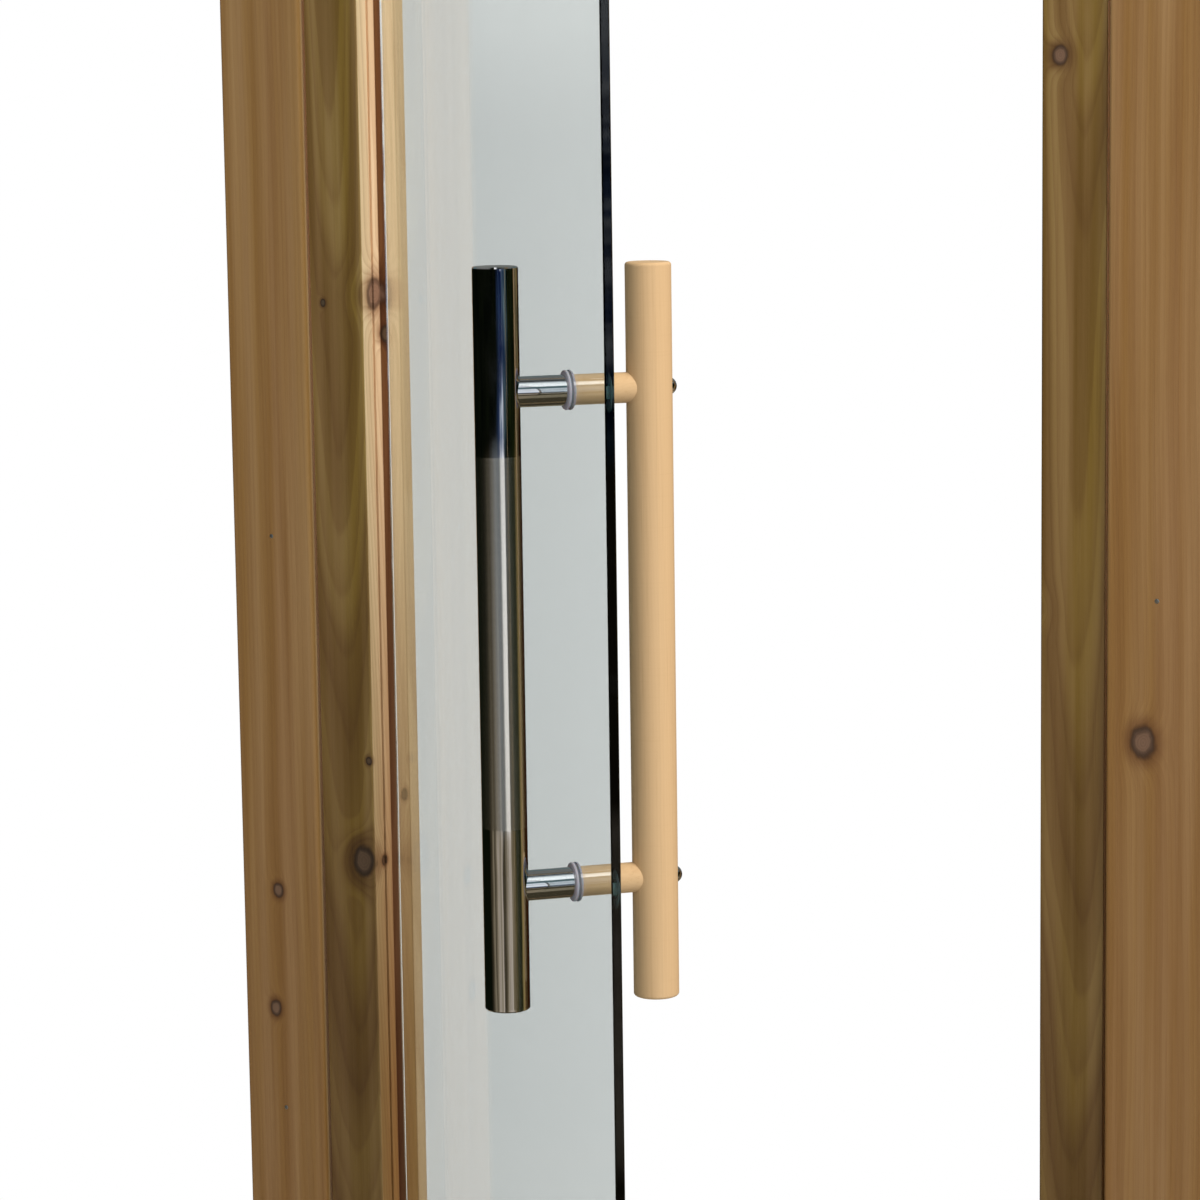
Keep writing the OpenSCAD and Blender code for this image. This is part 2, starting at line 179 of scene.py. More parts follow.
def new_group(name, inputs, outputs):
    """Shader group with named sockets: its tree, its inputs and its outputs."""
    tree = bpy.data.node_groups.new(name, "ShaderNodeTree")
    for label, value in inputs.items():
        kind = "NodeSocketFloat" if isinstance(value, float) else "NodeSocketVector"
        tree.interface.new_socket(label, in_out="INPUT", socket_type=kind).default_value = value
    for label in outputs:
        tree.interface.new_socket(label, in_out="OUTPUT", socket_type="NodeSocketFloat")
    return tree, tree.nodes.new("NodeGroupInput").outputs, tree.nodes.new("NodeGroupOutput").inputs


def use(tree, group, **inputs):
    """Places a shader group; its inputs' names are written with low lines for spaces."""
    made = put(tree, "ShaderNodeGroup", node_tree=group)
    for name, value in inputs.items():
        feed(tree, made.inputs[name.replace("_", " ")], value)
    return made.outputs


# Shader groups that several finishes share. Scales of noises are per metre along X, Y and Z.

ORIGIN = (0.0, 0.0, 0.0)
NOISE_SPAN = (0.3, 0.7)

WANDER, WANDER_SCALES = 30 * MM, (9, 9, 1.6)
RIPPLE, RIPPLE_SCALES = 2.2 * MM, (60, 60, 7)
LATE_POWER, LATE_END = 2.2, 0.82
COARSE_SCALES, COARSE_SHARE = (420, 420, 6), 0.55
FINE_SCALES = (1600, 1600, 28)
STREAK_SCALES, STREAK_STEP = (34, 34, 0.9), (0.42, 0.68)
BAND_RINGS, BAND_STEP = 0.62, (-0.9, 0.9)


def wood_figure():
    """Growth rings round a heart that runs along Z, with fibres, streaks and broad bands."""
    tree, given, result = new_group(
        "wood figure",
        {"Place": ORIGIN, "Heart": (0.05, 0.03, 0.0), "Lean": (0.0, 0.02, 0.0), "Ring": 3.5 * MM,
         "Swell": 0.0},
        ("Late Wood", "Fibre", "Streak", "Band"))
    place = given["Place"]
    drift = grown(tree, given["Lean"], axes(tree, place)["Z"])
    from_heart = vector(tree, "SUBTRACT", vector(tree, "ADD", place, drift), given["Heart"])
    radius = length(tree, stretched(tree, from_heart, (1, 1, 0)))
    wander = calc(tree, "MULTIPLY", noise(tree, place, WANDER_SCALES), WANDER)
    ripple = calc(tree, "MULTIPLY", noise(tree, place, RIPPLE_SCALES), RIPPLE)
    bent = calc(tree, "ADD", calc(tree, "ADD", radius, wander), calc(tree, "ADD", ripple, given["Swell"]))
    turn = calc(tree, "FRACT", calc(tree, "DIVIDE", bent, given["Ring"]))
    late = calc(tree, "MULTIPLY", calc(tree, "POWER", turn, LATE_POWER),
                ramp(tree, turn, LATE_END, 1.0, 1.0, 0.0))
    coarse = calc(tree, "MULTIPLY", noise(tree, place, COARSE_SCALES, detail=3.0), COARSE_SHARE)
    fine = calc(tree, "MULTIPLY", noise(tree, place, FINE_SCALES), 1 - COARSE_SHARE)
    wide = calc(tree, "SINE", calc(tree, "DIVIDE", bent, calc(tree, "MULTIPLY", given["Ring"], BAND_RINGS)))
    tree.links.new(late, result["Late Wood"])
    tree.links.new(calc(tree, "ADD", coarse, fine), result["Fibre"])
    tree.links.new(ramp(tree, noise(tree, place, STREAK_SCALES), *STREAK_STEP), result["Streak"])
    tree.links.new(ramp(tree, wide, *BAND_STEP), result["Band"])
    return tree


# Knots, in radii from the centre
KNOT_STRETCH = (1, 1, 0.82)
ROUGH_MIDDLE, ROUGH_SHARE = 0.5, 0.5
SWELL_FALL, SWELL_RISE = -0.32, 2.1
RIM_START, RIM_END = (0.5, 0.9), (0.92, 1.3)
CORE_EDGE, STAIN_EDGE = (0.8, 1.1), (0.8, 2.3)
KNOT_RINGS, KNOT_RING_POWER = 4.0, 2.0


def knot():
    """A knot at one place: how far it swells the rings, and the masks of its parts."""
    tree, given, result = new_group(
        "knot",
        {"Place": ORIGIN, "Centre": ORIGIN, "Radius": 6 * MM, "Rough": ROUGH_MIDDLE},
        ("Swell", "Core", "Rim", "Ring", "Stain"))
    offset = stretched(tree, vector(tree, "SUBTRACT", given["Place"], given["Centre"]), KNOT_STRETCH)
    reach = calc(tree, "DIVIDE", length(tree, offset), given["Radius"])
    uneven = calc(tree, "MULTIPLY", calc(tree, "SUBTRACT", given["Rough"], ROUGH_MIDDLE), ROUGH_SHARE)
    near = calc(tree, "ADD", reach, uneven)
    fall = calc(tree, "EXPONENT", calc(tree, "MULTIPLY", calc(tree, "MULTIPLY", reach, reach), SWELL_FALL))
    swell = calc(tree, "MULTIPLY", calc(tree, "MULTIPLY", fall, given["Radius"]), SWELL_RISE)
    rim = calc(tree, "MULTIPLY", ramp(tree, near, *RIM_START), ramp(tree, near, *RIM_END, 1.0, 0.0))
    turn = calc(tree, "FRACT", calc(tree, "MULTIPLY", near, KNOT_RINGS))
    tree.links.new(swell, result["Swell"])
    tree.links.new(ramp(tree, near, *CORE_EDGE, 1.0, 0.0), result["Core"])
    tree.links.new(rim, result["Rim"])
    tree.links.new(calc(tree, "POWER", turn, KNOT_RING_POWER), result["Ring"])
    tree.links.new(ramp(tree, reach, *STAIN_EDGE, 1.0, 0.0), result["Stain"])
    return tree


SMUDGE_SCALES, SMUDGE_STEP = (45, 45, 30), (0.45, 0.75)
SCRATCH_SCALES, SCRATCH_STEP = (2200, 2200, 25), (0.66, 0.74)
SCRATCH_TURN = (0.4, 0.9, 0.3)


def hand_marks():
    """Smudges and hairline scratches of handled metal and glass."""
    tree, given, result = new_group("hand marks", {"Place": ORIGIN, "Scale": 1.0}, ("Smudge", "Scratch"))
    place = grown(tree, given["Place"], given["Scale"])
    smudge = noise(tree, place, SMUDGE_SCALES, detail=4.0)
    scratch = noise(tree, turned(tree, place, SCRATCH_TURN), SCRATCH_SCALES, detail=1.0)
    tree.links.new(ramp(tree, smudge, *SMUDGE_STEP), result["Smudge"])
    tree.links.new(ramp(tree, scratch, *SCRATCH_STEP), result["Scratch"])
    return tree


LINE_WANDER = 22.0


def brushing():
    """Fine parallel lines across Z, as a belt or a lathe leaves them."""
    tree, given, result = new_group("brushing", {"Place": ORIGIN, "Lines": 1800.0}, ("Line",))
    x, y, z = axes(tree, given["Place"])
    where = put(tree, "ShaderNodeCombineXYZ",
                {"X": calc(tree, "MULTIPLY", x, LINE_WANDER), "Y": calc(tree, "MULTIPLY", y, LINE_WANDER),
                 "Z": calc(tree, "MULTIPLY", z, given["Lines"])}).outputs[0]
    lines = put(tree, "ShaderNodeTexNoise", {"Vector": where, "Scale": 1.0, "Detail": 3.0}).outputs["Fac"]
    tree.links.new(lines, result["Line"])
    return tree


WOOD_FIGURE = wood_figure()
KNOT = knot()
HAND_MARKS = hand_marks()
BRUSHING = brushing()


# Finishes

def new_finish(name, **constants):
    """Material with a Principled shader whose even values are set on its own sockets."""
    finish = bpy.data.materials.new(name)
    finish.use_nodes = True
    tree = finish.node_tree
    shader = tree.nodes["Principled BSDF"]
    for label, value in constants.items():
        shader.inputs[label.replace("_", " ")].default_value = value
    place = put(tree, "ShaderNodeTexCoord").outputs["Object"]
    return finish, tree, shader.inputs, place


def relief(tree, height, depth, strength):
    """Normal of a fine relief of that depth."""
    inputs = {"Height": height, "Distance": depth, "Strength": strength}
    return put(tree, "ShaderNodeBump", inputs).outputs["Normal"]


EARLY_WOOD = tint(252, 219, 178)
LATE_WOOD = tint(196, 148, 101)
RED_STREAK = tint(206, 150, 108)
DARK_FIBRE = tint(170, 122, 80)
KNOT_STAIN = tint(146, 88, 46)
KNOT_RIM = tint(46, 30, 17)
KNOT_LINES = (0.50, 0.45, 0.42, 1.0)
LIVE_KNOT = (0.44, 0.235, 0.15)
DEAD_KNOT = (0.105, 0.068, 0.038)
LINES_SHARE, STAIN_SHARE = 0.4, 0.62
LIVE_RIM_SHARE, DEAD_RIM_SHARE = 0.45, 0.35

# Painted shade: filters that darken the open front, the boards round it, and the face of the stop in its
# rebate, as the shade that falls on them
OLIVE_FRONT_SHADE = (0.27, 0.222, 0.045, 1.0)
HONEY_BOARD_SHADE = (0.36, 0.255, 0.105, 1.0)
UMBER_STOP_SHADE = (0.18, 0.075, 0.010, 1.0)

# Filter of the broad bands, how deep the painted shade reaches into a face, and how unevenly
BROWN_BAND = (0.60, 0.47, 0.34, 1.0)
JAMB_SHADE_D = 1.6 * MM
BOARD_SHADE_D = 8 * MM
SHADE_CORE_SHARE = 0.25
CLOUD_SCALES, CLOUD_LOW = (75, 75, 1.8), 0.85

# Painted shade that darkens the timber towards the floor, less so on faces that already have painted shade
FOOT_SHADE_TONE = (0.34, 0.25, 0.13, 1.0)
FOOT_SHADE_LOW, FOOT_SHADE_HIGH = 0.45, 1.20
SHADED_FACE_FOOT_CUT = 0.45

# Shares of the figure in planed timber, and its surface
OUTLINE_SCALES = (150, 150, 120)
FRESH_BAND_SHARE, STREAK_SHARE, FIBRE_SHARE = 0.25, 0.25, 0.2
FIBRE_STEP = (0.45, 0.75)
PLANED_ROUGH = (0.5, 0.68)
PLANED_D, PLANED_RELIEF, LATE_RELIEF_SHARE = 0.35 * MM, 0.3, 0.5


def between(low, high, share):
    """Mix of two plain colours."""
    return tuple(a + (b - a) * share for a, b in zip(low, high)) + (1.0,)


def knotted(tree, colour, found, decay):
    """Colour with a knot in it: red and sound at a decay of 0, black and loose at 1."""
    core = between(LIVE_KNOT, DEAD_KNOT, decay)
    inner = filtered(tree, calc(tree, "MULTIPLY", found["Ring"], LINES_SHARE), core, KNOT_LINES)
    colour = filtered(tree, calc(tree, "MULTIPLY", found["Stain"], STAIN_SHARE), colour, KNOT_STAIN)
    colour = blend(tree, found["Core"], colour, inner)
    rim = calc(tree, "MULTIPLY", found["Rim"], LIVE_RIM_SHARE + DEAD_RIM_SHARE * decay)
    return blend(tree, rim, colour, KNOT_RIM)


def timber(name, heart, lean, knots, shaded_faces=(), across=False, foot_shade=1.0, bands=0.6, rings=0.5):
    """Planed knotty softwood; knots are (place, radius, decay), faces with painted shade (place in Y, reach,
    filter); painted shade also darkens it towards the floor.
    """
    finish, tree, shader, place = new_finish(name)
    run = turned(tree, place, (0, QUARTER_TURN, 0)) if across else place
    rough = noise(tree, place, OUTLINE_SCALES)
    found = [use(tree, KNOT, Place=place, Centre=centre, Radius=radius, Rough=rough)
             for centre, radius, decay in knots]
    swell = 0.0
    for each in found:
        swell = calc(tree, "ADD", swell, each["Swell"])
    figure = use(tree, WOOD_FIGURE, Place=run, Heart=heart, Lean=lean, Swell=swell)
    colour = blend(tree, calc(tree, "MULTIPLY", figure["Late Wood"], rings), EARLY_WOOD, LATE_WOOD)
    broad = calc(tree, "MULTIPLY", figure["Band"], bands)
    colour = filtered(tree, calc(tree, "MULTIPLY", broad, FRESH_BAND_SHARE), colour, BROWN_BAND)
    colour = blend(tree, calc(tree, "MULTIPLY", figure["Streak"], STREAK_SHARE), colour, RED_STREAK)
    colour = blend(tree, ramp(tree, figure["Fibre"], *FIBRE_STEP, 0.0, FIBRE_SHARE), colour, DARK_FIBRE)
    depth, height = axes(tree, place)[1:]
    cloud = ramp(tree, noise(tree, run, CLOUD_SCALES), *NOISE_SPAN, CLOUD_LOW, 1.0)
    foot_shade_share = 1.0
    # Painted shade on the front faces, the stop's face and the casings' fronts, clouded unevenly and banded
    for face, reach, tone in shaded_faces:
        off = calc(tree, "ABSOLUTE", calc(tree, "SUBTRACT", depth, face))
        share = calc(tree, "MULTIPLY", ramp(tree, off, reach * SHADE_CORE_SHARE, reach, 1.0, 0.0), cloud)
        colour = filtered(tree, share, colour, tone)
        colour = filtered(tree, calc(tree, "MULTIPLY", share, broad), colour, BROWN_BAND)
        foot_shade_share = calc(tree, "SUBTRACT", foot_shade_share, calc(tree, "MULTIPLY", share, SHADED_FACE_FOOT_CUT))
    for each, (centre, radius, decay) in zip(found, knots):
        colour = knotted(tree, colour, each, decay)
    # Painted shade that darkens the timber towards the floor, as if less light reached its foot
    foot_shaded = calc(tree, "MULTIPLY", ramp(tree, height, FOOT_SHADE_LOW, FOOT_SHADE_HIGH, foot_shade, 0.0), foot_shade_share)
    feed(tree, shader["Base Color"], filtered(tree, foot_shaded, colour, FOOT_SHADE_TONE))
    feed(tree, shader["Roughness"], ramp(tree, figure["Fibre"], *NOISE_SPAN, *PLANED_ROUGH))
    raised = calc(tree, "MULTIPLY", figure["Late Wood"], LATE_RELIEF_SHARE)
    grain = calc(tree, "ADD", raised, figure["Fibre"])
    feed(tree, shader["Normal"], relief(tree, grain, PLANED_D, PLANED_RELIEF))
    return finish


# Wood of the handle
PALE_WOOD = tint(217, 182, 138)
PALE_RING = tint(204, 164, 118)
PALE_FIBRE = tint(186, 146, 102)
HANDLE_HEART, HANDLE_LEAN, HANDLE_RING = (0.03, 0.04, 0.0), (0.0, 0.012, 0.0), 2.1 * MM
PALE_LATE_SHARE, PALE_STREAK_SHARE, PALE_FIBRE_SHARE = 0.2, 0.1, 0.4
PALE_FIBRE_STEP = (0.48, 0.8)
TOOL_LINES, TOOL_STEP, TOOL_SHARE, TOOL_RELIEF_SHARE = 900.0, (0.55, 0.8), 0.1, 0.8
SANDED_ROUGH, SANDED_D, SANDED_RELIEF = (0.46, 0.6), 0.12 * MM, 0.18
SPECK_DECAY = 0.7


def turned_wood(name, across, speck=None):
    """Pale close grained wood, turned and sanded, with faint tool marks round it."""
    finish, tree, shader, place = new_finish(name)
    centred = vector(tree, "SUBTRACT", place, WOOD_AXIS)
    run = turned(tree, centred, (QUARTER_TURN, 0, LEAF_OPEN)) if across else centred
    figure = use(tree, WOOD_FIGURE, Place=run, Heart=HANDLE_HEART, Lean=HANDLE_LEAN, Ring=HANDLE_RING)
    marks = use(tree, BRUSHING, Place=centred, Lines=TOOL_LINES)["Line"]
    colour = blend(tree, calc(tree, "MULTIPLY", figure["Late Wood"], PALE_LATE_SHARE), PALE_WOOD, PALE_RING)
    colour = blend(tree, calc(tree, "MULTIPLY", figure["Streak"], PALE_STREAK_SHARE), colour, PALE_RING)
    fibre = ramp(tree, figure["Fibre"], *PALE_FIBRE_STEP, 0.0, PALE_FIBRE_SHARE)
    colour = blend(tree, fibre, colour, PALE_FIBRE)
    colour = blend(tree, ramp(tree, marks, *TOOL_STEP, 0.0, TOOL_SHARE), colour, PALE_FIBRE)
    if speck:
        found = use(tree, KNOT, Place=place, Centre=speck[0], Radius=speck[1])
        colour = knotted(tree, colour, found, SPECK_DECAY)
    feed(tree, shader["Base Color"], colour)
    feed(tree, shader["Roughness"], ramp(tree, figure["Fibre"], *NOISE_SPAN, *SANDED_ROUGH))
    grain = calc(tree, "ADD", figure["Fibre"], calc(tree, "MULTIPLY", marks, TOOL_RELIEF_SHARE))
    feed(tree, shader["Normal"], relief(tree, grain, SANDED_D, SANDED_RELIEF))
    return finish


# Steel of the bar, brushed and polished
BRUSHED_DARK, BRUSHED_LIGHT = tint(212, 210, 206), tint(222, 220, 216)
POLISHED_TONE = tint(206, 206, 208)
BRUSHED_LINES, BRUSHED_ROUGH = 7000.0, (0.17, 0.20)
POLISHED_ROUGH, SMUDGED_ROUGH = 0.022, 0.03
BAR_SCRATCH_SHARE, BRUSHED_D, BRUSHED_RELIEF = 0.15, 0.01 * MM, 0.05


def bar_steel():
    """Stainless tube, brushed round in the middle and polished towards both ends."""
    finish, tree, shader, place = new_finish(
        "bar steel", Metallic=1.0, Anisotropic=0.8, Anisotropic_Rotation=0.25)
    centred = vector(tree, "SUBTRACT", place, STEEL_AXIS)
    limit = (BAR_HIGH - BAR_LOW) / 2 - POLISHED_END
    from_middle = calc(tree, "ABSOLUTE", axes(tree, centred)["Z"])
    brushed = ramp(tree, from_middle, limit - POLISH_EDGE, limit + POLISH_EDGE, 1.0, 0.0)
    line = use(tree, BRUSHING, Place=centred, Lines=BRUSHED_LINES)["Line"]
    marks = use(tree, HAND_MARKS, Place=centred, Scale=1.0)
    satin = ramp(tree, line, *NOISE_SPAN, *BRUSHED_ROUGH)
    mirror = calc(tree, "ADD", calc(tree, "MULTIPLY", marks["Smudge"], SMUDGED_ROUGH), POLISHED_ROUGH)
    grey = blend(tree, ramp(tree, line, *NOISE_SPAN), BRUSHED_DARK, BRUSHED_LIGHT)
    feed(tree, shader["Base Color"], blend(tree, brushed, POLISHED_TONE, grey))
    feed(tree, shader["Roughness"], put(tree, "ShaderNodeMix", {0: brushed, 2: mirror, 3: satin}).outputs[0])
    scratch = calc(tree, "MULTIPLY", marks["Scratch"], BAR_SCRATCH_SHARE)
    depth = calc(tree, "ADD", calc(tree, "MULTIPLY", line, brushed), scratch)
    feed(tree, shader["Normal"], relief(tree, depth, BRUSHED_D, BRUSHED_RELIEF))
    tangent = put(tree, "ShaderNodeTangent", direction_type="RADIAL", axis="Z").outputs[0]
    feed(tree, shader["Tangent"], tangent)
    return finish


METAL_MARKS, WORN_SHARE, SCRATCH_D = 1.4, 0.5, 0.02 * MM


def metal(name, colour, worn, smooth, dull, scratched):
    """Bare metal with smudges that dull it and hairline scratches."""
    finish, tree, shader, place = new_finish(name, Metallic=1.0)
    marks = use(tree, HAND_MARKS, Place=place, Scale=METAL_MARKS)
    share = calc(tree, "MULTIPLY", marks["Smudge"], WORN_SHARE)
    feed(tree, shader["Base Color"], blend(tree, share, colour, worn))
    feed(tree, shader["Roughness"], ramp(tree, marks["Smudge"], 0.0, 1.0, smooth, dull))
    feed(tree, shader["Normal"], relief(tree, marks["Scratch"], SCRATCH_D, scratched))
    return finish


SATIN_DARK, SATIN_LIGHT = tint(176, 176, 176), tint(206, 206, 206)
SATIN_LINES, SATIN_MARKS = 2400.0, 1.2
SATIN_ROUGH, SATIN_SMUDGE_SHARE, SATIN_RELIEF = (0.40, 0.52), 0.06, 0.3


def satin_steel():
    """Hinge steel with a fine upright grain."""
    finish, tree, shader, place = new_finish("satin steel", Metallic=1.0)
    line = use(tree, BRUSHING, Place=turned(tree, place, (0, QUARTER_TURN, 0)), Lines=SATIN_LINES)["Line"]
    marks = use(tree, HAND_MARKS, Place=place, Scale=SATIN_MARKS)
    feed(tree, shader["Base Color"], blend(tree, ramp(tree, line, *NOISE_SPAN), SATIN_DARK, SATIN_LIGHT))
    smudged = calc(tree, "MULTIPLY", marks["Smudge"], SATIN_SMUDGE_SHARE)
    feed(tree, shader["Roughness"], calc(tree, "ADD", ramp(tree, line, *NOISE_SPAN, *SATIN_ROUGH), smudged))
    feed(tree, shader["Normal"], relief(tree, line, SCRATCH_D, SATIN_RELIEF))
    return finish


GLASS_MARKS, GLASS_SMUDGE = 0.2, 0.012
GLASS_TONE, GLASS_DENSITY = (0.25, 0.62, 0.52, 1.0), 20.0


def door_glass():
    """Clear toughened glass: its green shows through the length of the sheet, at the edges."""
    finish, tree, shader, place = new_finish("door glass", Transmission_Weight=1.0, IOR=1.5)
    shader["Base Color"].default_value = WHITE
    marks = use(tree, HAND_MARKS, Place=place, Scale=GLASS_MARKS)
    feed(tree, shader["Roughness"], calc(tree, "MULTIPLY", marks["Smudge"], GLASS_SMUDGE))
    out = tree.nodes["Material Output"]
    lamps = put(tree, "ShaderNodeLightPath").outputs["Is Shadow Ray"]
    clear = put(tree, "ShaderNodeBsdfTransparent").outputs[0]
    body = tree.nodes["Principled BSDF"].outputs[0]
    through = put(tree, "ShaderNodeMixShader", {0: lamps, 1: body, 2: clear}).outputs[0]
    tree.links.new(through, out.inputs["Surface"])
    tone = put(tree, "ShaderNodeVolumeAbsorption", {"Color": GLASS_TONE, "Density": GLASS_DENSITY})
    tree.links.new(tone.outputs[0], out.inputs["Volume"])
    return finish


NYLON_DARK, NYLON_LIGHT = tint(162, 159, 172), tint(182, 179, 192)
NYLON_SCALES, NYLON_ROUGH = (160, 160, 160), (0.3, 0.42)
NYLON_GRAIN, NYLON_D, NYLON_RELIEF = (900, 900, 900), 0.03 * MM, 0.25


def nylon():
    finish, tree, shader, place = new_finish("nylon", Subsurface_Weight=0.3, Subsurface_Scale=0.001)
    cloud = noise(tree, place, NYLON_SCALES, detail=3.0)
    feed(tree, shader["Base Color"], blend(tree, cloud, NYLON_DARK, NYLON_LIGHT))
    feed(tree, shader["Roughness"], ramp(tree, cloud, *NOISE_SPAN, *NYLON_ROUGH))
    feed(tree, shader["Normal"], relief(tree, noise(tree, place, NYLON_GRAIN), NYLON_D, NYLON_RELIEF))
    return finish


RUBBER_DARK, RUBBER_LIGHT = tint(24, 24, 25), tint(46, 45, 44)
RUBBER_SCALES, RUBBER_ROUGH, RUBBER_D, RUBBER_RELIEF = (1400, 1400, 1400), (0.7, 0.9), 0.05 * MM, 0.4


def pad_rubber():
    finish, tree, shader, place = new_finish("pad rubber")
    speck = noise(tree, place, RUBBER_SCALES, detail=3.0)
    feed(tree, shader["Base Color"], blend(tree, speck, RUBBER_DARK, RUBBER_LIGHT))
    feed(tree, shader["Roughness"], ramp(tree, speck, *NOISE_SPAN, *RUBBER_ROUGH))
    feed(tree, shader["Normal"], relief(tree, speck, RUBBER_D, RUBBER_RELIEF))
    return finish


# Knots as (place, radius, decay): the ones that show beside the handle come first
HINGE_KNOTS = [
    ((-0.3004, JAMB_FRONT, 1.0901), 0.0021, 1.0),
    ((-0.2665, -0.0070, 1.0965), 0.0088, 0.25),
    ((-0.2615, STOP_FACE, 1.0677), 0.0046, 0.9),
    ((-0.2756, JAMB_FRONT, 0.6880), 0.0085, 0.85),
    ((-0.2660, -0.0093, 0.6874), 0.0030, 0.5),
    ((STOP_TIP, 0.0138, 0.7328), 0.0034, 0.6),
    ((-0.2691, JAMB_FRONT, 0.7620), 0.0024, 0.9),
    ((-0.2900, JAMB_FRONT, 1.4200), 0.0080, 0.7),
    ((-0.2850, JAMB_FRONT, 0.2800), 0.0070, 0.3),
    ((STOP_TIP, 0.0060, 1.5600), 0.0060, 0.4),
]
LATCH_KNOTS = [
    ((0.2880, JAMB_FRONT, 0.4300), 0.0080, 0.8),
    ((0.2660, -0.0120, 0.9100), 0.0060, 0.3),
    ((0.2790, JAMB_FRONT, 1.2600), 0.0050, 0.6),
    ((-STOP_TIP, 0.0100, 1.4800), 0.0070, 0.4),
]
CASING_KNOTS = [
    ((-0.3510, CASING_FRONT, 0.6589), 0.0042, 0.6),
    ((-0.3560, CASING_FRONT, 0.5700), 0.0046, 0.6),
    ((-0.3640, CASING_FRONT, 1.3900), 0.0090, 0.4),
    ((0.3400, CASING_FRONT, 0.8300), 0.0080, 0.6),
    ((0.3650, CASING_FRONT, 1.5200), 0.0050, 0.9),
    ((0.3300, CASING_FRONT, 0.2500), 0.0060, 0.3),
]
LINING_KNOTS = [
    ((-0.2900, LINING_BACK, 0.5200), 0.0080, 0.7),
    ((-0.2760, LINING_BACK, 1.3300), 0.0060, 0.2),
    ((0.2950, LINING_BACK, 0.9600), 0.0090, 0.5),
    ((0.2800, LINING_BACK, 1.6000), 0.0050, 0.9),
]
CROSS_KNOTS = [
    ((-0.1500, JAMB_FRONT, 1.8150), 0.0070, 0.7),
    ((0.0900, CASING_FRONT, 1.8700), 0.0080, 0.3),
    ((0.2100, LINING_BACK, 1.8200), 0.0070, 0.5),
    ((-0.1000, JAMB_FRONT, 0.0200), 0.0060, 0.8),
]
BAR_SPECK = ((0.1276, -0.2761, 0.7610), 0.0008)


def dress_frame():
    """Finish of each timber piece; a board's heart and lean choose its figure."""
    # Painted shade on the fronts of the jambs, head and sill, on the stop faces, and on the fronts of the
    # casing boards
    front = [(JAMB_FRONT, JAMB_SHADE_D, OLIVE_FRONT_SHADE), (STOP_FACE, JAMB_SHADE_D, UMBER_STOP_SHADE)]
    boards = [(CASING_FRONT, BOARD_SHADE_D, HONEY_BOARD_SHADE)]
    hinge = timber("hinge jamb timber", (-0.285, 0.058, 0), (0.004, 0.050, 0), HINGE_KNOTS, front)
    latch = timber("latch jamb timber", (0.292, 0.060, 0), (-0.005, 0.046, 0), LATCH_KNOTS, front)
    casing = timber("casing timber", (-0.06, 0.030, 0), (0.010, 0.0, 0), CASING_KNOTS, boards,
                    foot_shade=0.4, bands=0.16, rings=0.2)
    lining = timber("room casing timber", (0.05, 0.080, 0), (0.012, 0.0, 0), LINING_KNOTS,
                    foot_shade=0.35, bands=0.2, rings=0.3)
    cross = timber("head and sill timber", (0.03, 0.060, 0), (0.0, 0.016, 0), CROSS_KNOTS, front,
                   across=True, foot_shade=0.5)
    over = timber("head casing timber", (0.06, 0.030, 0), (0.012, 0.0, 0), CROSS_KNOTS, boards,
                  across=True, bands=0.16, rings=0.2)
    return {
        "hinge_jamb": hinge, "latch_jamb": latch, "head": cross, "sill": cross,
        "hinge_casing": casing, "latch_casing": casing, "head_casing": over,
        "inner_hinge_casing": lining, "inner_latch_casing": lining, "inner_head_casing": cross,
    }


POLISHED = metal("polished steel", tint(214, 214, 216), tint(196, 195, 194),
                 smooth=0.03, dull=0.10, scratched=0.12)
BRASS = metal("brass", tint(214, 172, 92), tint(176, 132, 66), smooth=0.18, dull=0.34, scratched=0.3)
SATIN = satin_steel()
NYLON = nylon()
RUBBER = pad_rubber()
UPRIGHT_WOOD = turned_wood("handle wood", False, BAR_SPECK)
POST_WOOD = turned_wood("handle post wood", True)
LEVELS = ("upper", "lower")


def dress_leaf():
    """Finish of each piece of the leaf, its handle and the hinges."""
    finishes = {"glass_pane": door_glass(), "steel_bar": bar_steel(), "wood_bar": UPRIGHT_WOOD}
    for level in LEVELS:
        finishes[f"{level}_wood_post"] = POST_WOOD
        for piece in ("steel_post", "handle_bolt", "clamp_screws", "hinge_pin"):
            finishes[f"{level}_{piece}"] = POLISHED
        for piece in ("outer_washer", "inner_washer"):
            finishes[f"{level}_{piece}"] = NYLON
        for piece in ("outer_clamp", "inner_clamp", "jamb_plate"):
            finishes[f"{level}_{piece}"] = SATIN
        for piece in ("outer_pad", "inner_pad"):
            finishes[f"{level}_{piece}"] = RUBBER
        finishes[f"{level}_hinge_ring"] = BRASS
    for end in ("top", "bottom"):
        finishes[f"steel_bar_{end}_cap"] = POLISHED
    return finishes


for name, finish in {**dress_frame(), **dress_leaf()}.items():
    nodes[name].data.materials.clear()
    nodes[name].data.materials.append(finish)


# Fasteners

OUTWARD, INWARD = (0, -1, 0), (0, 1, 0)


def link_mesh(name, mesh):
    piece = bpy.data.objects.new(name, mesh)
    bpy.context.scene.collection.objects.link(piece)
    return piece


def new_mesh(name, shape):
    """Mesh of a bmesh, which is freed."""
    mesh = bpy.data.meshes.new(name)
    shape.to_mesh(mesh)
    shape.free()
    return mesh


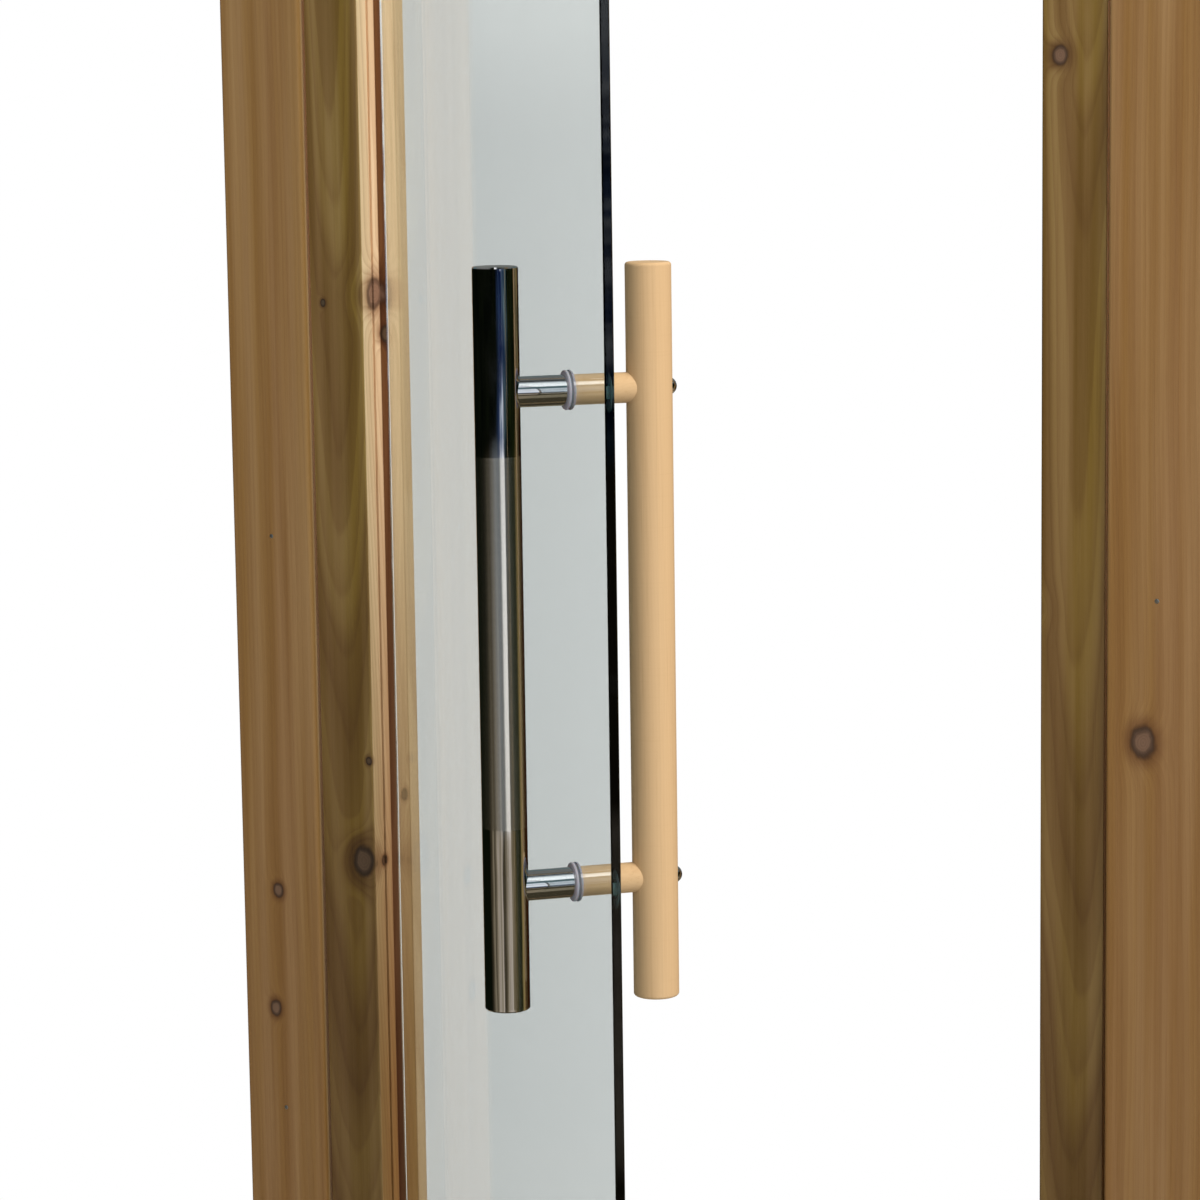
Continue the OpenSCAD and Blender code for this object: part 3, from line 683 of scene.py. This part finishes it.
def turned_mesh(name, outline, steps):
    """Solid of revolution about Z from an outline of (radius, height) points."""
    shape = bmesh.new()
    points = [shape.verts.new((radius, 0, height)) for radius, height in outline]
    edges = [shape.edges.new(pair) for pair in zip(points, points[1:])]
    bmesh.ops.spin(shape, geom=points + edges, cent=(0, 0, 0), axis=(0, 0, 1), angle=FULL_TURN, steps=steps)
    bmesh.ops.remove_doubles(shape, verts=shape.verts, dist=SEAM)
    bmesh.ops.recalc_face_normals(shape, faces=shape.faces)
    return new_mesh(name, shape)


def dome(radius, height, root, count=8):
    """Outline of a domed head on a short root below it."""
    ball = (radius ** 2 + height ** 2) / (2 * height)
    reach = math.asin(radius / ball)
    arc = [reach * step / count for step in range(count + 1)]
    top = [(ball * math.sin(a), ball * math.cos(a) - ball + height) for a in arc]
    return top + [(radius, -root), (0, -root)]


def settled(piece):
    """Replaces a piece's mesh by what its modifiers make of it."""
    made = bpy.data.meshes.new_from_object(piece.evaluated_get(bpy.context.evaluated_depsgraph_get()))
    piece.modifiers.clear()
    piece.data = made
    return piece


def fasteners_on_points():
    """Tree that sets a fastener on each point, facing as the point says and turned at random."""
    tree = bpy.data.node_groups.new("fasteners on points", "GeometryNodeTree")
    tree.is_modifier = True
    sockets = {"Geometry": "Geometry", "Fastener": "Object", "Size": "Float", "Seed": "Int",
               "Finish": "Material"}
    for label, kind in sockets.items():
        tree.interface.new_socket(label, in_out="INPUT", socket_type="NodeSocket" + kind)
    tree.interface.new_socket("Geometry", in_out="OUTPUT", socket_type="NodeSocketGeometry")
    given = tree.nodes.new("NodeGroupInput").outputs
    result = tree.nodes.new("NodeGroupOutput").inputs
    stored = put(tree, "GeometryNodeInputNamedAttribute", {"Name": "facing"}, data_type="FLOAT_VECTOR")
    facing = stored.outputs[0]
    aligned = put(tree, "FunctionNodeAlignRotationToVector", {"Vector": facing}, axis="Z").outputs[0]
    chance = put(tree, "FunctionNodeRandomValue", {"Seed": given["Seed"]}, data_type="FLOAT").outputs[1]
    angle = calc(tree, "MULTIPLY", chance, FULL_TURN)
    spin = put(tree, "FunctionNodeAxisAngleToRotation", {"Axis": (0, 0, 1), "Angle": angle}).outputs[0]
    rotated = put(tree, "FunctionNodeRotateRotation", {0: aligned, 1: spin},
                  rotation_space="LOCAL").outputs[0]
    shape = put(tree, "GeometryNodeObjectInfo", {"Object": given["Fastener"]}).outputs["Geometry"]
    placed = put(tree, "GeometryNodeInstanceOnPoints",
                 {"Points": given["Geometry"], "Instance": shape, "Rotation": rotated,
                  "Scale": given["Size"]})
    real = put(tree, "GeometryNodeRealizeInstances", {"Geometry": placed.outputs[0]}).outputs[0]
    done = put(tree, "GeometryNodeSetMaterial", {"Geometry": real, "Material": given["Finish"]}).outputs[0]
    tree.links.new(done, result["Geometry"])
    return tree


FASTENERS = fasteners_on_points()


def set_fasteners(name, places, shape, size, seed, finish):
    """One mesh with a fastener at each (place, facing)."""
    points = bpy.data.meshes.new(name)
    points.from_pydata([place for place, facing in places], [], [])
    facings = points.attributes.new("facing", "FLOAT_VECTOR", "POINT")
    for entry, (place, facing) in zip(facings.data, places):
        entry.vector = facing
    piece = link_mesh(name, points)
    modifier = piece.modifiers.new("fasteners", "NODES")
    modifier.node_group = FASTENERS
    values = {"Fastener": shape, "Size": size, "Seed": seed, "Finish": finish}
    for socket in FASTENERS.interface.items_tree:
        if socket.in_out == "INPUT" and socket.name in values:
            modifier[socket.identifier] = values[socket.name]
    settled(piece)
    piece.data.shade_smooth()
    piece.data.set_sharp_from_angle(angle=SHARP_HEAD)
    return piece


def cut_from(shape, cutter):
    """Cuts one mesh object out of another and removes the cutter."""
    cut = shape.modifiers.new("cut", "BOOLEAN")
    cut.operation = "DIFFERENCE"
    cut.solver = "EXACT"
    cut.object = cutter
    settled(shape)
    bpy.data.objects.remove(cutter)


def bar_cutter(size, top):
    """One bar of a cross recess, centred at the height of the top."""
    shape = bmesh.new()
    placed = Matrix.Translation((0, 0, top)) @ Matrix.Diagonal((*size, 1))
    bmesh.ops.create_cube(shape, size=1, matrix=placed)
    return link_mesh("recess cutter", new_mesh("recess cutter", shape))


def steps_between(start, end, step):
    """Even steps from start to end, about step apart."""
    count = max(1, round((end - start) / step))
    return [start + (end - start) * i / count for i in range(count + 1)]


def nail_places():
    """Nails along the middle of each casing board, on its face."""
    places = []
    for start, face, facing in (("", CASING_FRONT, OUTWARD), ("inner_", LINING_BACK, INWARD)):
        for side in ("hinge", "latch"):
            low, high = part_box(f"{start}{side}_casing")
            x = (low.x + high.x) / 2
            heights = steps_between(low.z + NAIL_END, high.z - NAIL_END, NAIL_STEP)
            places += [((x, face, z), facing) for z in heights]
        low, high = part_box(f"{start}head_casing")
        z = (low.z + high.z) / 2
        along = steps_between(low.x + NAIL_END, high.x - NAIL_END, NAIL_STEP)
        places += [((x, face, z), facing) for x in along]
    return places


def plate_screw_places():
    """Four screws in each hinge plate on the jamb."""
    places = []
    for level in LEVELS:
        low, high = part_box(f"{level}_jamb_plate")
        face = JAMB_FRONT - PLATE_T
        for x in (low.x + PLATE_SCREW_IN, low.x + PLATE_W - PLATE_SCREW_IN):
            for z in (low.z + PLATE_SCREW_IN, high.z - PLATE_SCREW_IN):
                places.append(((x, face, z), OUTWARD))
    return places


def add_fasteners():
    """Nail heads in the casings and screw heads with a cross recess in the hinge plates."""
    nail_outline = dome(HEAD_RADIUS, NAIL_RISE, NAIL_ROOT)
    nail = link_mesh("nail head", turned_mesh("nail head", nail_outline, NAIL_STEPS))
    nails = set_fasteners("casing_nails", nail_places(), nail, NAIL_D, NAIL_SEED, SATIN)
    screw_outline = dome(HEAD_RADIUS, SCREW_RISE, SCREW_ROOT)
    screw = link_mesh("screw head", turned_mesh("screw head", screw_outline, SCREW_STEPS))
    for size in ((SLOT_L, SLOT_W, SLOT_D), (SLOT_W, SLOT_L, SLOT_D)):
        cut_from(screw, bar_cutter(size, SCREW_RISE))
    screws = set_fasteners("plate_screws", plate_screw_places(), screw, SCREW_D, SCREW_SEED, POLISHED)
    for piece, slot in ((nails, "hinge_steel"), (screws, "polished_steel")):
        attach(piece, "frame")
    for shape in (nail, screw):
        bpy.data.objects.remove(shape)


def soften(node, body):
    """Puts a copy of a hinge plate or clamp with rounded edges in its node's place."""
    shape = bmesh.new()
    shape.from_mesh(nodes[node].data)
    bmesh.ops.remove_doubles(shape, verts=shape.verts, dist=WELD)
    bmesh.ops.dissolve_limit(shape, angle_limit=FLAT_SEAM, verts=shape.verts, edges=shape.edges)
    sharp = [edge for edge in shape.edges if edge.is_manifold and edge.calc_face_angle() > ROUNDED_EDGE]
    bmesh.ops.bevel(shape, geom=sharp, offset=SOFT_EDGE, segments=2, profile=0.5, affect="EDGES")
    mesh = new_mesh(f"rounded_{node}", shape)
    mesh.shade_smooth()
    mesh.set_sharp_from_angle(angle=SHARP_PLATE)
    mesh.materials.append(SATIN)
    piece = link_mesh(f"rounded_{node}", mesh)
    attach(piece, body)
    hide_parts(node)


add_fasteners()
for level in LEVELS:
    soften(f"{level}_jamb_plate", "frame")
    soften(f"{level}_outer_clamp", "leaf")
    soften(f"{level}_inner_clamp", "leaf")


# Stage

VIEW_TURN = math.radians(32.978)
VIEW_DIP = math.radians(8.332)
VIEW_ROLL = math.radians(0.801)
CAMERA_PLACE = Vector((1.37147, -2.24218, 1.28007))
SENSOR_MM = 36.0
LENS_MM = 117.0


def add_camera():
    """Camera at the photograph's viewing angle."""
    right = Vector((math.cos(VIEW_TURN), math.sin(VIEW_TURN), 0))
    level = Vector((-math.sin(VIEW_TURN), math.cos(VIEW_TURN), 0))
    ahead = level * math.cos(VIEW_DIP) - Vector((0, 0, math.sin(VIEW_DIP)))
    up = right.cross(ahead)
    across = right * math.cos(VIEW_ROLL) - up * math.sin(VIEW_ROLL)
    upright = right * math.sin(VIEW_ROLL) + up * math.cos(VIEW_ROLL)
    lens = bpy.data.cameras.new("camera")
    lens.sensor_width = SENSOR_MM
    lens.lens = LENS_MM
    camera = bpy.data.objects.new("camera", lens)
    bpy.context.scene.collection.objects.link(camera)
    turn = Matrix((across, upright, -ahead)).transposed().to_4x4()
    camera.matrix_world = Matrix.Translation(CAMERA_PLACE) @ turn
    bpy.context.scene.camera = camera


FLOOR_RADIUS, FLOOR_SIDES = 1.5, 96
FLOOR_DROP = 0.5 * MM
FLOOR_TONE = (0.82, 0.82, 0.81, 1.0)
FADE_START, FADE_END = 0.5 * FLOOR_RADIUS, 0.97 * FLOOR_RADIUS
# A ray's count of bounces is over this once it has bounced
ONE_BOUNCE = 0.5


def add_floor():
    """Round pale floor that fades out at its rim and doesn't show in the metal."""
    shape = bmesh.new()
    bmesh.ops.create_circle(shape, cap_ends=True, segments=FLOOR_SIDES, radius=FLOOR_RADIUS)
    mesh = new_mesh("floor", shape)
    finish, tree, shader, place = new_finish("pale floor", Roughness=0.9)
    shader["Base Color"].default_value = FLOOR_TONE
    out = tree.nodes["Material Output"]
    rim = ramp(tree, length(tree, place), FADE_START, FADE_END)
    path = put(tree, "ShaderNodeLightPath").outputs
    bounced = calc(tree, "GREATER_THAN", path["Glossy Depth"], ONE_BOUNCE)
    hidden = calc(tree, "MAXIMUM", rim, bounced)
    body = tree.nodes["Principled BSDF"].outputs[0]
    clear = put(tree, "ShaderNodeBsdfTransparent").outputs[0]
    faded = put(tree, "ShaderNodeMixShader", {0: hidden, 1: body, 2: clear}).outputs[0]
    tree.links.new(faded, out.inputs["Surface"])
    mesh.materials.append(finish)
    floor = link_mesh("floor", mesh)
    floor.location.z = -FLOOR_DROP


# Tones of the cards round the studio that bright metal mirrors
BLACK = (0.005, 0.007, 0.003, 1.0)
RED_BLACK = (0.045, 0.012, 0.004, 1.0)
GREEN_BLACK = (0.016, 0.021, 0.006, 1.0)
COOL_WHITE = (0.95, 1.02, 1.10, 1.0)
DUSK = (0.04, 0.08, 0.20, 1.0)
DIM_BLUE = (0.06, 0.12, 0.28, 1.0)
LAMP = (2.60, 2.62, 2.56, 1.0)
MIST = (0.15, 0.23, 0.25, 1.0)
COOL_GREY = (0.40, 0.45, 0.49, 1.0)
GREY = (0.24, 0.24, 0.23, 1.0)
SAND = (0.33, 0.275, 0.185, 1.0)
PALE_SAND = (0.62, 0.54, 0.44, 1.0)
UMBER = (0.075, 0.06, 0.035, 1.0)
OLIVE = (0.11, 0.08, 0.02, 1.0)
GOLD = (0.42, 0.30, 0.115, 1.0)

# Cards by degrees round from the front, ring over ring from the lowest to the ceiling
LOW_CARDS = [
    (-180, RED_BLACK), (-150, BLACK), (-50, BLACK), (-36, UMBER), (-24, SAND), (-17, UMBER), (-8, SAND),
    (2, PALE_SAND), (10, SAND), (20, PALE_SAND), (24, UMBER), (32, UMBER), (42, SAND), (51, PALE_SAND),
    (65, PALE_SAND), (74, SAND), (86, OLIVE), (98, GREEN_BLACK), (119, GREEN_BLACK), (128, GOLD),
    (136, GOLD), (148, OLIVE), (166, RED_BLACK),
]
WAIST_CARDS = [
    (-180, RED_BLACK), (-150, BLACK), (-50, BLACK), (-14, UMBER), (4, GREY), (16, COOL_GREY),
    (30, COOL_GREY), (42, COOL_GREY), (45, LAMP), (57, LAMP), (61, GREY), (66, UMBER),
    (100, GREEN_BLACK), (120, GREEN_BLACK), (130, GOLD), (137, GOLD), (150, OLIVE), (168, RED_BLACK),
]
EYE_CARDS = [
    (-180, RED_BLACK), (-150, BLACK), (24, BLACK), (42, DUSK), (50, COOL_WHITE), (54, COOL_WHITE),
    (59, DUSK), (70, MIST), (82, GREEN_BLACK), (122, GREEN_BLACK), (132, OLIVE), (143, GOLD),
    (153, GOLD), (166, RED_BLACK),
]
HIGH_CARDS = [
    (-180, GREY), (-115, GREY), (-85, BLACK), (-40, BLACK), (-4, GREY), (14, COOL_GREY),
    (38, COOL_GREY), (48, COOL_WHITE), (68, COOL_WHITE), (78, GREY), (96, BLACK), (150, BLACK),
    (170, GREY),
]
TOP_CARDS = [
    (-180, GREY), (-60, GREY), (-40, BLACK), (8, BLACK), (18, LAMP), (48, LAMP), (58, COOL_WHITE),
    (95, COOL_WHITE), (115, BLACK), (150, GREY),
]

# Edges of the rings and of the bands of ground, as the height of a direction 1 long
WAIST_EDGE, EYE_EDGE, HIGH_EDGE, TOP_EDGE = (-0.205, -0.195), (-0.115, -0.105), (-0.03, 0.01), (0.58, 0.64)
GROUND_BANDS = (((-0.31, -0.26), UMBER), ((-0.44, -0.40), SAND), ((-0.74, -0.64), UMBER))
MIST_START, MIST_END = (0.36, 0.40), (0.56, 0.62)

# How far the cards' edges wander, and their streaks
CARD_EDGE, CARD_SWAY = 0.10, 0.34
RAGGED_SCALES, RAGGED_MIDDLE = (6, 6, 90), 0.5
CARD_STREAK_SCALES, CARD_STREAK_LEVELS = (44, 44, 3), (0.62, 1.08)

# The bright card at eye height leans and is broken up by dim streaks
EYE_LOW, EYE_HIGH = -0.105, -0.080
EYE_LEAN = 12 / 360
DIM_SCALES, DIM_STEP, DIM_SHARE = (16, 16, 90), (0.42, 0.58), 0.92

# Soft light, brightest from in front, to the right and above
LIT_SIDE = (0.507, -0.751, 0.423)
SOFT_STEP = (-0.5, 0.9)
SOFT_DARK = (0.070, 0.068, 0.064, 1.0)
SOFT_LIGHT = (0.73, 0.72, 0.69, 1.0)


def toned_ring(tree, turn, cards):
    """Colour ramp round the horizon."""
    made = put(tree, "ShaderNodeValToRGB", {0: turn})
    elements = made.color_ramp.elements
    while len(elements) < len(cards):
        elements.new(1.0)
    for element, (degrees, tone) in zip(elements, cards):
        element.position = degrees / 360 + 0.5
        element.color = tone
    return made.outputs[0]


def eye_ring(tree, direction, turn, height):
    """Ring at eye height, whose cards lean and are broken up."""
    lean = ramp(tree, height, EYE_LOW, EYE_HIGH, 0.0, EYE_LEAN)
    ring = toned_ring(tree, calc(tree, "SUBTRACT", turn, lean), EYE_CARDS)
    dimmed = ramp(tree, noise(tree, direction, DIM_SCALES, detail=3.0), *DIM_STEP, 0.0, DIM_SHARE)
    return filtered(tree, dimmed, ring, DIM_BLUE)


def mirrored_studio(tree, direction):
    """Rings of cards, bands of ground below them and a bright ceiling over them."""
    x, y, height = axes(tree, direction)
    around = calc(tree, "ARCTAN2", x, calc(tree, "MULTIPLY", y, -1.0))
    ragged = calc(tree, "SUBTRACT", noise(tree, direction, RAGGED_SCALES, detail=3.0), RAGGED_MIDDLE)
    swayed = calc(tree, "ADD", around, calc(tree, "MULTIPLY", ragged, CARD_SWAY))
    turn = calc(tree, "ADD", calc(tree, "DIVIDE", swayed, FULL_TURN), 0.5)
    rise = calc(tree, "ADD", height, calc(tree, "MULTIPLY", ragged, CARD_EDGE))
    toned = toned_ring(tree, turn, LOW_CARDS)
    rings = (
        (WAIST_EDGE, toned_ring(tree, turn, WAIST_CARDS)),
        (EYE_EDGE, eye_ring(tree, direction, turn, height)),
        (HIGH_EDGE, toned_ring(tree, turn, HIGH_CARDS)),
        (TOP_EDGE, toned_ring(tree, turn, TOP_CARDS)),
    )
    for edge, ring in rings:
        toned = blend(tree, ramp(tree, height, *edge), toned, ring)
    for edge, tone in GROUND_BANDS:
        toned = blend(tree, ramp(tree, rise, *edge), tone, toned)
    misty = calc(tree, "MULTIPLY", ramp(tree, rise, *MIST_START), ramp(tree, rise, *MIST_END, 1.0, 0.0))
    toned = blend(tree, misty, toned, MIST)
    streaks = ramp(tree, noise(tree, direction, CARD_STREAK_SCALES), *NOISE_SPAN, *CARD_STREAK_LEVELS)
    return grown(tree, toned, streaks)


def add_world():
    """Soft light from in front, a white ground, and cards for the metal to mirror."""
    world = bpy.data.worlds.new("studio")
    bpy.context.scene.world = world
    world.use_nodes = True
    tree = world.node_tree
    tree.nodes.clear()
    direction = put(tree, "ShaderNodeTexCoord").outputs["Generated"]
    lit = put(tree, "ShaderNodeVectorMath", {0: direction, 1: LIT_SIDE}, operation="DOT_PRODUCT")
    soft = blend(tree, ramp(tree, lit.outputs["Value"], *SOFT_STEP), SOFT_DARK, SOFT_LIGHT)
    path = put(tree, "ShaderNodeLightPath").outputs
    unscattered = calc(tree, "LESS_THAN", path["Diffuse Depth"], ONE_BOUNCE)
    unmirrored = calc(tree, "LESS_THAN", path["Glossy Depth"], ONE_BOUNCE)
    straight = calc(tree, "MULTIPLY", unscattered, unmirrored)
    through = calc(tree, "MULTIPLY", path["Is Transmission Ray"], straight)
    seen = calc(tree, "MAXIMUM", path["Is Camera Ray"], through)
    mirrored = calc(tree, "MULTIPLY", path["Is Glossy Ray"], unscattered)
    colour = blend(tree, mirrored, soft, mirrored_studio(tree, direction))
    ground = put(tree, "ShaderNodeBackground", {"Color": blend(tree, seen, colour, WHITE)})
    tree.links.new(ground.outputs[0], put(tree, "ShaderNodeOutputWorld").inputs["Surface"])


def add_lamp(name, turn, rise, distance, size, watts, colour):
    """Soft lamp aimed at the doorway at the handle's height; neither metal nor glass shows it."""
    lamp = bpy.data.lights.new(name, "AREA")
    lamp.shape = "RECTANGLE"
    lamp.size, lamp.size_y = size
    lamp.energy = watts
    lamp.color = colour
    piece = bpy.data.objects.new(name, lamp)
    bpy.context.scene.collection.objects.link(piece)
    level = math.cos(math.radians(rise))
    side = math.sin(math.radians(turn)) * level
    front = math.cos(math.radians(turn)) * level
    out = Vector((side, -front, math.sin(math.radians(rise))))
    piece.location = Vector((0, 0, BAR_MIDDLE)) + out * distance
    piece.rotation_euler = (-out).to_track_quat("-Z", "Y").to_euler()
    piece.visible_glossy = False
    piece.visible_transmission = False


add_camera()
add_floor()
add_world()
add_lamp("key", turn=75, rise=41, distance=3.4, size=(1.5, 2.0), watts=94, colour=(1.0, 0.96, 0.90))
add_lamp("back fill", turn=175, rise=45, distance=3.6, size=(2.0, 2.0), watts=36, colour=(0.95, 0.98, 1.0))
bpy.context.scene.view_settings.view_transform = "Standard"
